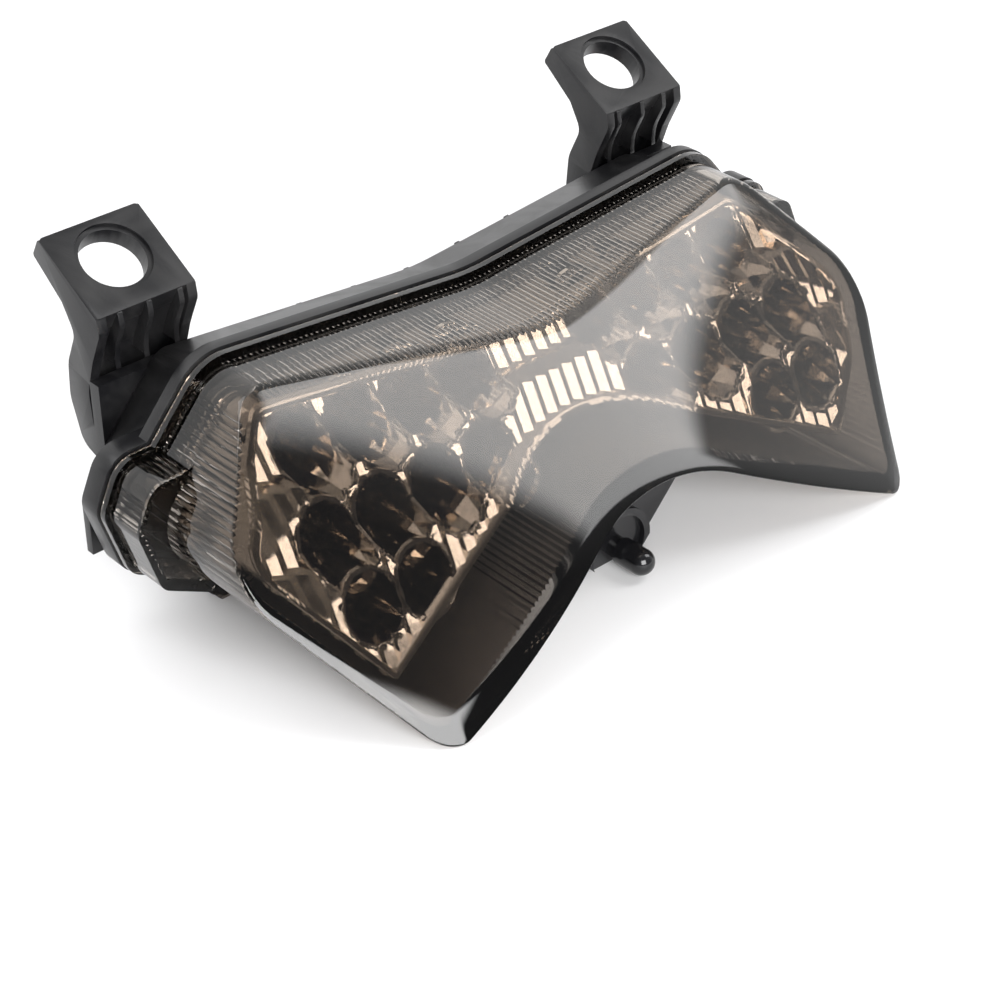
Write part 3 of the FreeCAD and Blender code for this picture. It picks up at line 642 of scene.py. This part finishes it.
GRAINED = {
    # Satin moulded plastic with faint greyish handling marks.
    "housing": dict(
        name="black moulded plastic", colour="plastic", base=0.36, ior=1.40, grain=1400.0, marks=45.0,
        roughness=0.30, spread=0.16, bump=0.12, tone=(0.035, 0.034, 0.034)),
    # The same plastic where the mould is polished: the bracket, its ring and the peg.
    "glossy": dict(
        name="polished black plastic", colour="plastic", base=0.18, grain=700.0, marks=40.0, roughness=0.12,
        spread=0.1, bump=0.04),
    # Metal film on plastic, with a faint haze and waviness.
    "chrome": dict(
        name="warm chrome", colour="chrome", base=0.1, metallic=1.0, grain=160.0, marks=90.0, roughness=0.06,
        spread=0.09, bump=0.10, depth=0.0004),
    # Bead of glue, a little lumpy and shiny.
    "sealant": dict(
        name="black sealant", colour=(0.006, 0.006, 0.006), base=0.25, grain=260.0, marks=80.0, roughness=0.18,
        spread=0.2, bump=0.9),
    "rubber": dict(
        name="black rubber", colour=(0.014, 0.014, 0.015), base=0.6, grain=1800.0, marks=90.0, roughness=0.52,
        spread=0.18, bump=0.35, tone=(0.04, 0.039, 0.038)),
    "board": dict(
        name="black solder mask", colour=(0.010, 0.011, 0.010), base=0.35, grain=2600.0, marks=150.0,
        roughness=0.3, spread=0.2, bump=0.25, tone=(0.02, 0.022, 0.02), share=0.8),
    # Tan lacquer with darker brown patches.
    "resistor": dict(
        name="tan lacquer", colour=(0.42, 0.30, 0.17), base=0.35, grain=2000.0, marks=500.0, roughness=0.3,
        spread=0.2, bump=0.2, tone=(0.30, 0.16, 0.07), share=0.9),
    "steel": dict(
        name="zinc plated steel", colour=(0.62, 0.62, 0.64), base=0.3, metallic=1.0, grain=1500.0, marks=300.0,
        roughness=0.22, spread=0.2, bump=0.15),
    "frame_metal": dict(
        name="tinned lead frame", colour=(0.75, 0.74, 0.72), base=0.22, metallic=1.0, grain=2600.0,
        marks=600.0, roughness=0.16, spread=0.2, bump=0.1),
    "brass": dict(
        name="terminal brass", colour=(0.72, 0.52, 0.23), base=0.28, metallic=1.0, grain=1500.0, marks=400.0,
        roughness=0.2, spread=0.25, bump=0.2),
    # Insulation with faint dust.
    "insulation": dict(
        name="dark red insulation", colour="lead", base=0.38, grain=2500.0, marks=220.0, roughness=0.32,
        spread=0.2, bump=0.3, tone=(0.40, 0.06, 0.05)),
    "floor": dict(
        name="white floor", colour="floor", base=0.62, grain=60.0, marks=4.0, roughness=0.55, spread=0.1,
        bump=0.02),
}
CLEAR = {"lens": smoked_acrylic, "epoxy": clear_epoxy}
made_materials = {}


def material_for(finish):
    """Each finish is made once and shared."""
    if finish not in made_materials:
        made_materials[finish] = CLEAR[finish]() if finish in CLEAR else grained(**GRAINED[finish])
    return made_materials[finish]


# ---------------------------------------------------------------- lens


def build_lens():
    """Lens as one closed shell.

    Outside: flange edge, the outline carried along y past the lobes, a step at the lobes' front, the plain
    outline up to the face with a rounded rim, and the face as a sheet between the lower and upper rows.
    Inside: the same with the walls set in and fluted, joined to the outside at the back rim.
    """
    s = sizes()
    rim = 0.9
    lobe_out = -1.2
    flange = above_floor(loop_of(*outline(FLANGE_OUT, 0.0)))
    outside_back = loop_of(*outline(0.0, lobe_out))
    outside = loop_of(*outline(0.0))
    soft_rows = []
    for inset, back in ((0.0, rim + 0.3), (0.08, 0.7), (0.3, 0.3), (rim, 0.0)):
        ring = loop_of(*outline(-inset))
        soft_rows.append((ring, face_y(ring[:, 0], ring[:, 1]) + back))
    patches = [
        wall(flange, 0.0, -FLANGE_DEPTH, 2),
        between(flange, -FLANGE_DEPTH, outside_back, -FLANGE_DEPTH),
        wall(outside_back, -FLANGE_DEPTH, -LOBE_DEPTH, 2),
        between(outside_back, -LOBE_DEPTH, outside, -LOBE_DEPTH),
        wall(outside, -LOBE_DEPTH, soft_rows[0][1], 5),
    ]
    for (ring_a, y_a), (ring_b, y_b) in zip(soft_rows, soft_rows[1:]):
        patches.append(between(ring_a, y_a, ring_b, y_b))
    patches.append(sheet_between(*outline(-rim), face_y, FACE_ROWS))
    inner_back = loop_of(*fluted(*outline(-s.lens_wall, lobe_out - s.lens_wall)))
    inner = fluted(*outline(-s.lens_wall))
    step_y = -LOBE_DEPTH + s.lens_wall
    inner_loop = loop_of(*inner)
    inner_face = face_y(inner_loop[:, 0], inner_loop[:, 1]) + s.face_wall
    patches += [
        between(flange, 0.0, inner_back, 0.0),
        wall(inner_back, 0.0, step_y, 2),
        between(inner_back, step_y, inner_loop, step_y),
        wall(inner_loop, step_y, inner_face, 5),
        sheet_between(*inner, lambda x, z: face_y(x, z) + s.face_wall, FACE_ROWS),
    ]
    lens = patches_to_piece("smoked_lens", patches, smooth=32)
    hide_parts("lens_cover")
    finish_piece(lens, "lens")


# ---------------------------------------------------------------- reflector


def lamp_places():
    """Every lamp's x, z and tip y, right wing and left wing."""
    return [(side * x, z, tip) for z, tip, xs in LAMP_ROWS for x in xs for side in (1, -1)]


def floor_depth(x, z):
    """Terraced floor: y by straight lines between the terraces' heights, kept behind the lens's face."""
    return np.maximum(np.interp(z, TERRACE_Z, TERRACE_Y), face_y(x, z) + sizes().face_wall + FLOOR_GAP)


def nearest_lamp(x, z):
    """Distance to the nearest lamp's axis."""
    distances = [np.hypot(x - lx, z - lz) for lx, lz, _ in lamp_places()]
    return np.min(distances, axis=0)


def pleats(x, z):
    """Ridges that run down the floor: minus half their height times a triangle wave of x, gone at the bowls."""
    s = sizes()
    wave = 4 * np.abs((x / s.pleat_pitch) % 1.0 - 0.5) - 1
    away = smooth_step((nearest_lamp(x, z) - BOWL_MOUTH_R) / PLEAT_FADE)
    return -0.5 * s.pleat_height * wave * away


def gap_to_loop(x, z, loop):
    """Distance of each point from the nearest side of a closed loop, positive inside it."""
    following = np.roll(loop, -1, axis=0)
    nearest = np.full(x.shape, 1e9)
    crossings = np.zeros(x.shape, int)
    for start, end in zip(loop, following):
        side = end - start
        along = ((x - start[0]) * side[0] + (z - start[1]) * side[1]) / max(side @ side, 1e-12)
        along = np.clip(along, 0, 1)
        nearest = np.minimum(nearest, np.hypot(x - start[0] - along * side[0], z - start[1] - along * side[1]))
        between_ends = (start[1] > z) != (end[1] > z)
        cut_x = start[0] + (z - start[1]) * side[0] / (side[1] if side[1] else 1e-12)
        crossings += between_ends & (x < cut_x)
    return np.where(crossings % 2 == 1, nearest, -nearest)


def build_reflector_floor():
    """Front sheet of the reflector: terraces and pleats on an upright grid, with a hole at each lamp.

    Columns fall on the pleats' ridges and valleys and rows on the shelves' edges. Cells outside the outline
    or inside a bowl's mouth are left out, and Solidify gives the sheet its thickness.
    """
    step = sizes().pleat_pitch / 6
    reach = round(GRID_HALF_WIDTH / step)
    columns = np.arange(-reach, reach + 1) * step
    levels = np.union1d(np.round(np.arange(*GRID_HEIGHTS), 3), TERRACE_Z[1:-1])
    x, z = np.meshgrid(columns, levels)
    top, low = outline(-REFLECTOR_INSET, middle=100, side=24)
    inside = gap_to_loop(x, z, loop_of(top, low))
    y = floor_depth(x, z) + pleats(x, z)
    faces = grid_faces(*x.shape)
    keep = inside.reshape(-1)[faces].mean(1) > GRID_INSIDE
    keep &= nearest_lamp(x, z).reshape(-1)[faces].mean(1) > BOWL_MOUTH_R
    used, back = np.unique(faces[keep], return_inverse=True)
    sheet = add_piece("reflector_floor", metres(x, y, z).reshape(-1, 3)[used], back.reshape(-1, 4), smooth=24)
    thick = sheet.modifiers.new("wall", "SOLIDIFY")
    thick.thickness = REFLECTOR_WALL * MM
    thick.offset = -1.0
    return sheet


def swept_band(name, profile):
    """Closed band round the reflector's outline.

    profile rows are (inset from the outline, depth from the floor or None, depth from the joint). Where the
    first depth is given the point follows the floor, averaged over 7 mm of height so that the band runs
    smoothly past the shelves.
    """
    reach = np.linspace(-3.5, 3.5, 9)
    rings = []
    for inset, from_floor, from_joint in profile:
        top, low = outline(-REFLECTOR_INSET - inset, middle=200, side=60)
        loop = loop_of(top, low)
        x, z = np.concatenate([loop, loop[:1]]).T
        if from_floor is None:
            y = from_joint + 0 * x
        else:
            y = np.mean([floor_depth(x, z + step) for step in reach], axis=0) + from_floor
        rings.append(metres(x, y, z))
    rings.append(rings[0])
    return patches_to_piece(name, [np.stack(rings)], smooth=35)


def build_reflector_rim():
    """Bright rim that stands proud of the floor, with the edge wall behind it."""
    width = sizes().rim_width
    back, shoulder, crest = 4.0, -0.9, -1.3
    profile = (
        (0.0, back, 0), (0.0, shoulder, 0), (0.35, crest, 0),
        (width - 0.3, crest, 0), (width, shoulder, 0), (width, back, 0),
    )
    return swept_band("reflector_rim", profile)


def build_reflector_skirt():
    """Plain back of the edge wall, from behind the rim to past the joint."""
    out, into = -0.12, 0.9
    profile = ((out, 0.2, 0), (into, 4.2, 0), (into, None, SKIRT_BACK), (out, None, SKIRT_BACK))
    return swept_band("reflector_skirt", profile)


def bowl(x, z, tip):
    """One lamp's bowl as a closed solid.

    From the flat bottom the wall follows y = bottom - rise (r^2 - flat radius^2). Each ring is a polygon
    turned by half a side from the ring before it, and each cell is split between two corners of the
    polygons, so the wall is made of large flat triangles. The floor cuts the wall off: y is the larger of
    the two. The back is a plain cone.
    """
    bottom = tip + LAMP_LENGTH - BOWL_OVER_BASE
    points_round = 2 * BOWL_SIDES
    sector = 2 * np.pi / BOWL_SIDES
    turn = np.arange(points_round + 1) * 2 * np.pi / points_round
    rings = []

    def add_ring(radius, depth):
        px, pz = x + radius * np.cos(turn), z + radius * np.sin(turn)
        rings.append(metres(px, depth(floor_depth(px, pz)), pz))

    for i, radius in enumerate(BOWL_RINGS):
        local = (turn + (i % 2) * sector / 2) % sector - sector / 2
        wall_y = bottom - BOWL_RISE * max(radius ** 2 - BOWL_FLAT_R ** 2, 0.0)
        add_ring(radius * math.cos(sector / 2) / np.cos(local), lambda floor: np.maximum(wall_y, floor - BOWL_PROUD))
    for depth in (-BOWL_PROUD, BOWL_WALL):
        add_ring(BOWL_MOUTH_R + BOWL_LIP, lambda floor: floor + depth)
    for radius, back in ((6.2, tip + 1.5), (4.6, bottom + BOWL_WALL), (0.0, bottom + BOWL_WALL)):
        add_ring(radius, lambda floor: np.maximum(back, floor + BOWL_WALL))
    return np.stack(rings), grid_faces(len(rings), points_round + 1)


def build_bowls():
    """All the bowls as one flat-shaded piece, its cells split along alternating diagonals."""
    solids = [bowl(*place) for place in lamp_places()]
    points, faces = joined(solids)
    rows, columns = solids[0][0].shape[:2]
    ring, sector = np.divmod(np.arange((rows - 1) * (columns - 1)), columns - 1)
    even = np.tile((ring + sector) % 2 == 0, len(solids))
    first = np.where(even[:, None], faces[:, [0, 1, 2]], faces[:, [0, 1, 3]])
    second = np.where(even[:, None], faces[:, [0, 2, 3]], faces[:, [1, 2, 3]])
    return add_piece("reflector_bowls", points, np.concatenate([first, second]))


def build_reflector():
    """Floor, rim, skirt and bowls, which together stand for the reflector's CAD node."""
    floor = build_reflector_floor()
    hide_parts("reflector")
    for piece in (floor, build_reflector_rim(), build_reflector_skirt(), build_bowls()):
        finish_piece(piece, "chrome")


# ---------------------------------------------------------------- lamps and boards


def lamp_epoxy(x, z, tip):
    """Water-clear lamp: a quarter circle for its dome, straight sides and a rim, turned about its axis."""
    t = np.linspace(0, np.pi / 2, 9)
    dome = [(LAMP_R * math.sin(a), tip + LAMP_R - LAMP_R * math.cos(a)) for a in t]
    base = tip + LAMP_LENGTH
    rim = [(LAMP_R, base - LAMP_RIM), (LAMP_RIM_R, base - LAMP_RIM), (LAMP_RIM_R, base), (0.0, base)]
    return turned(dome + rim, 28, x, z)


def lamp_innards(x, z, tip):
    """Anvil with its small cup, the post beside it, and both legs, as thin bars and a turned cup."""
    base = tip + LAMP_LENGTH
    cup_y = tip + 3.9
    profile = (
        (0.0, cup_y + 0.5), (0.35, cup_y + 0.5), (0.75, cup_y),
        (0.85, cup_y), (0.6, cup_y + 1.0), (0.0, cup_y + 1.0),
    )
    cup = turned(profile, 14, x - 0.35, z)
    return [
        cup,
        bar(x - 1.5, x - 0.1, cup_y + 0.9, base - 1.2, z - 0.3, z + 0.3),
        bar(x + 0.55, x + 1.35, cup_y + 1.1, base - 1.6, z - 0.3, z + 0.3),
        bar(x - 1.5, x - 1.0, base - 1.3, base + 0.2, z - 0.25, z + 0.25),
        bar(x + 1.0, x + 1.5, base - 1.7, base + 0.2, z - 0.25, z + 0.25),
    ]


def build_lamps():
    """Every lamp's clear body stands for its CAD node; the metal inside all of them is one more piece."""
    metal = []
    for row, (z, tip, places) in enumerate(LAMP_ROWS, 1):
        for place, x in enumerate(places, 1):
            for side, word in ((1, "right"), (-1, "left")):
                points, faces = lamp_epoxy(side * x, z, tip)
                lamp = add_piece(f"{word}_lamp_row{row}_{place}", points, faces, smooth=40)
                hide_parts(f"{word}_led_row{row}_{place}")
                finish_piece(lamp, "epoxy")
                metal += lamp_innards(side * x, z, tip)
    points, faces = joined(metal)
    finish_piece(add_piece("lamp_frames", points, faces, smooth=30), "frame_metal")


def build_boards():
    """The boards, their resistors and screws keep their CAD shapes and get their finishes."""
    for side in ("left", "right"):
        dress(side + "_led_board", "board")
        dress(side + "_board_resistors", "resistor")
    dress("board_screws", "steel")


def dress(node, finish):
    """Puts a finish on a CAD node that keeps its own shape."""
    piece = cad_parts[node]
    piece.data.materials.clear()
    piece.data.materials.append(material_for(finish))


# ---------------------------------------------------------------- housing


def build_housing():
    """Housing, lugs and bracket with their edges rounded; peg, sealant and grommet in their CAD shapes."""
    for node, name, finish in (
        ("rear_housing", "housing_shell", "housing"),
        ("left_mounting_lug", "left_lug", "housing"),
        ("right_mounting_lug", "right_lug", "housing"),
        ("lower_bracket", "bracket", "glossy"),
    ):
        finish_piece(softened(node, name, sizes().edge_round), finish)
    dress("locating_peg", "glossy")
    dress("sealant_bead", "sealant")
    dress("cable_grommet", "rubber")


# ---------------------------------------------------------------- leads


def route_curve(name, points, radius):
    """Round cord along one smooth spline: a NURBS of order 3 with the route's points as its control points."""
    data = bpy.data.curves.new(name, "CURVE")
    data.dimensions = "3D"
    spline = data.splines.new("NURBS")
    spline.points.add(len(points) - 1)
    spline.points.foreach_set("co", np.column_stack([points, np.ones(len(points))]).ravel())
    spline.order_u = 3
    spline.use_endpoint_u = True
    spline.resolution_u = 6
    data.bevel_depth = radius * MM
    data.bevel_resolution = 4
    data.use_fill_caps = True
    return new_object(name, data)


def coil_points(x, y, middle, side):
    """Points of a coil's turns.

    The angle grows evenly. The radius is the outer turn's, then the inner turn's for the second and third
    turns, and the outer turn's again; the height steps up from the first layer to the second after two. It
    is grown by 1 / cos(pi / points), because the spline runs inside its control points.
    """
    count = COIL_TURNS * POINTS_A_TURN
    turn = np.arange(1, count) / POINTS_A_TURN
    angle = side * (np.pi / 2 + turn * 2 * np.pi)
    inner = smooth_step((turn - 0.85) / 0.3) * (1 - smooth_step((turn - 2.85) / 0.3))
    radius = middle + LEAD_R - 2 * LEAD_R * inner
    radius = radius / math.cos(np.pi / POINTS_A_TURN)
    z = LEAD_R + 2 * LEAD_R * smooth_step((turn - 1.8) / 0.4)
    return metres(x + radius * np.cos(angle), y + radius * np.sin(angle), z)


def build_lead(name, route, coil):
    """One lead from the sleeve's end to its terminal, whole length on one spline."""
    x, y, middle, side = coil
    end_y = route[-1][1]
    tail = [(x, end_y, 3 * LEAD_R), (x - 0.4 * TAIL_RUN, end_y, 2.8 * LEAD_R), (x - TAIL_RUN, end_y, TERMINAL_R)]
    points = np.concatenate([metres(*np.array(route).T), coil_points(*coil), metres(*np.array(tail).T)])
    lead = route_curve(name.replace("lead", "wire"), points, LEAD_R)
    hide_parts(name, name + "_coil")
    finish_piece(lead, "insulation")
    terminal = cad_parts[name + "_terminal"]
    dress(name + "_terminal", "brass")
    return lead, terminal


def build_leads():
    """Sleeve, both leads and their terminals."""
    sleeve = route_curve("shrink_sleeve", metres(*np.array(SLEEVE_ROUTE).T), SLEEVE_R)
    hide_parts("lead_sleeve")
    finish_piece(sleeve, "rubber")
    for name, route, coil in (
        ("supply_lead", SUPPLY_ROUTE, SUPPLY_COIL),
        ("earth_lead", EARTH_ROUTE, EARTH_COIL),
    ):
        lead, terminal = build_lead(name, route, coil)
        start = metres(*route[0])


# ---------------------------------------------------------------- stage


def fade_towards_edges(data):
    """Lamp that dims smoothly near its edges: strength by the smaller of 4u(1-u) and 4v(1-v)."""
    data.use_nodes = True
    tree = data.node_tree
    across = node_of(tree, "ShaderNodeSeparateXYZ")
    tree.links.new(node_of(tree, "ShaderNodeNewGeometry").outputs["Parametric"], across.inputs["Vector"])
    humps = []
    for axis in "XY":
        rest = node_of(tree, "ShaderNodeMath", operation="SUBTRACT")
        rest.inputs[0].default_value = 1.0
        tree.links.new(across.outputs[axis], rest.inputs[1])
        hump = node_of(tree, "ShaderNodeMath", operation="MULTIPLY")
        tree.links.new(across.outputs[axis], hump.inputs[0])
        tree.links.new(rest.outputs["Value"], hump.inputs[1])
        humps.append(hump)
    smaller = node_of(tree, "ShaderNodeMath", operation="MINIMUM")
    tree.links.new(humps[0].outputs["Value"], smaller.inputs[0])
    tree.links.new(humps[1].outputs["Value"], smaller.inputs[1])
    ramp = node_of(tree, "ShaderNodeMapRange", interpolation_type="SMOOTHSTEP")
    ramp.inputs["From Max"].default_value = SOFTBOX_EDGE
    tree.links.new(smaller.outputs["Value"], ramp.inputs["Value"])
    tree.links.new(ramp.outputs["Result"], tree.nodes["Emission"].inputs["Strength"])


def add_softbox(name, towards, distance, size, radiance, across):
    """Rectangular soft lamp that faces the light from a direction; its power is pi times radiance times area.

    across is the direction of its width, made perpendicular to the way it faces.
    """
    away = Vector(towards).normalized()
    side = Vector(across or (-away.y, away.x, 0.0))
    side = (side - away * side.dot(away)).normalized()
    up = away.cross(side)
    data = bpy.data.lights.new(name, "AREA")
    data.shape = "RECTANGLE"
    data.size, data.size_y = size[0] * MM, size[1] * MM
    data.energy = radiance * math.pi * data.size * data.size_y
    fade_towards_edges(data)
    lamp = new_object(name, data)
    lamp.location = Vector(metres(*TARGET)) + away * (distance * MM)
    lamp.rotation_euler = Matrix((side, up, away)).transposed().to_euler()


def build_world():
    """Studio round the light: bright behind it and dark in front, by a direction's share along one axis."""
    world = bpy.data.worlds.new("studio")
    world.use_nodes = True
    tree = world.node_tree
    place = node_of(tree, "ShaderNodeTexCoord")
    along = node_of(tree, "ShaderNodeVectorMath", operation="DOT_PRODUCT")
    along.inputs[1].default_value = STUDIO_AXIS
    ramp = node_of(tree, "ShaderNodeValToRGB")
    for stop, (position, colour) in zip(ramp.color_ramp.elements, STUDIO_LEVELS):
        stop.position = position
        stop.color = colour
    shifted = node_of(tree, "ShaderNodeMath", operation="MULTIPLY_ADD")
    shifted.inputs[1].default_value = 0.5
    shifted.inputs[2].default_value = 0.5
    tree.links.new(place.outputs["Generated"], along.inputs[0])
    tree.links.new(along.outputs["Value"], shifted.inputs[0])
    tree.links.new(shifted.outputs["Value"], ramp.inputs["Fac"])
    background = tree.nodes["Background"]
    tree.links.new(ramp.outputs["Color"], background.inputs["Color"])
    background.inputs["Strength"].default_value = STUDIO_STRENGTH
    bpy.context.scene.world = world


def build_stage():
    """White floor, soft lamps and the camera, which looks down at the light from its front left."""
    half = FLOOR_HALF
    mesh = bpy.data.meshes.new("floor")
    mesh.from_pydata([(-half, -half, 0), (half, -half, 0), (half, half, 0), (-half, half, 0)], [], [(0, 1, 2, 3)])
    mesh.materials.append(material_for("floor"))
    new_object("floor", mesh)
    build_world()
    for softbox in SOFTBOXES:
        add_softbox(*softbox)
    data = bpy.data.cameras.new("camera")
    data.sensor_width = CAMERA_SENSOR
    data.lens = CAMERA_LENS
    data.clip_start = 0.01
    camera = new_object("camera", data)
    camera.location = metres(*CAMERA_PLACE)
    camera.rotation_euler = Vector(CAMERA_FORWARD).to_track_quat("-Z", "Y").to_euler()
    scene = bpy.context.scene
    scene.camera = camera
    scene.view_settings.view_transform = "Standard"


# ---------------------------------------------------------------- add-on


class TAILLIGHT_OT_stage(Operator):
    """Make the floor, the lamps and the camera"""

    bl_idname = "taillight.stage"
    bl_label = "Stage"

    def execute(self, context):
        build_stage()
        return {"FINISHED"}


class TAILLIGHT_OT_leads(Operator):
    """Make the sleeve and the two leads with their coils"""

    bl_idname = "taillight.leads"
    bl_label = "Leads"

    def execute(self, context):
        build_leads()
        return {"FINISHED"}


class TAILLIGHT_OT_lens(Operator):
    """Make the smoked, fluted lens"""

    bl_idname = "taillight.lens"
    bl_label = "Lens"

    def execute(self, context):
        build_lens()
        return {"FINISHED"}


class TAILLIGHT_OT_reflector(Operator):
    """Make the reflector's floor, rim, skirt and bowls"""

    bl_idname = "taillight.reflector"
    bl_label = "Reflector"

    def execute(self, context):
        build_reflector()
        return {"FINISHED"}


class TAILLIGHT_OT_lamps(Operator):
    """Make the lamps and dress the boards behind them"""

    bl_idname = "taillight.lamps"
    bl_label = "Lamps and boards"

    def execute(self, context):
        build_lamps()
        build_boards()
        return {"FINISHED"}


class TAILLIGHT_OT_housing(Operator):
    """Round and dress the housing, the lugs, the bracket and the peg"""

    bl_idname = "taillight.housing"
    bl_label = "Housing"

    def execute(self, context):
        build_housing()
        return {"FINISHED"}


class TAILLIGHT_PT_panel(Panel):
    """Buttons and sizes in the sidebar"""

    bl_idname = "TAILLIGHT_PT_panel"
    bl_label = "Tail Light"
    bl_space_type = "VIEW_3D"
    bl_region_type = "UI"
    bl_category = "Tail Light"

    def draw(self, context):
        for group in (context.scene.tail_light_sizes, context.scene.tail_light_finishes):
            box = self.layout.box()
            for name in group.bl_rna.properties.keys():
                if name not in ("rna_type", "name"):
                    box.prop(group, name)
        for operator in OPERATORS:
            self.layout.operator(operator.bl_idname)


OPERATORS = (
    TAILLIGHT_OT_stage,
    TAILLIGHT_OT_leads,
    TAILLIGHT_OT_lens,
    TAILLIGHT_OT_reflector,
    TAILLIGHT_OT_lamps,
    TAILLIGHT_OT_housing,
)
CLASSES = (TailLightSizes, TailLightFinishes) + OPERATORS + (TAILLIGHT_PT_panel,)


def register():
    for item in CLASSES:
        bpy.utils.register_class(item)
    bpy.types.Scene.tail_light_sizes = PointerProperty(type=TailLightSizes)
    bpy.types.Scene.tail_light_finishes = PointerProperty(type=TailLightFinishes)


def unregister():
    del bpy.types.Scene.tail_light_sizes
    del bpy.types.Scene.tail_light_finishes
    for item in reversed(CLASSES):
        bpy.utils.unregister_class(item)


def main():
    """Runs every operator in order."""
    register()
    for operator in OPERATORS:
        group, action = operator.bl_idname.split(".")
        getattr(getattr(bpy.ops, group), action)()
    bpy.context.view_layer.update()


if __name__ == "__main__":
    main()
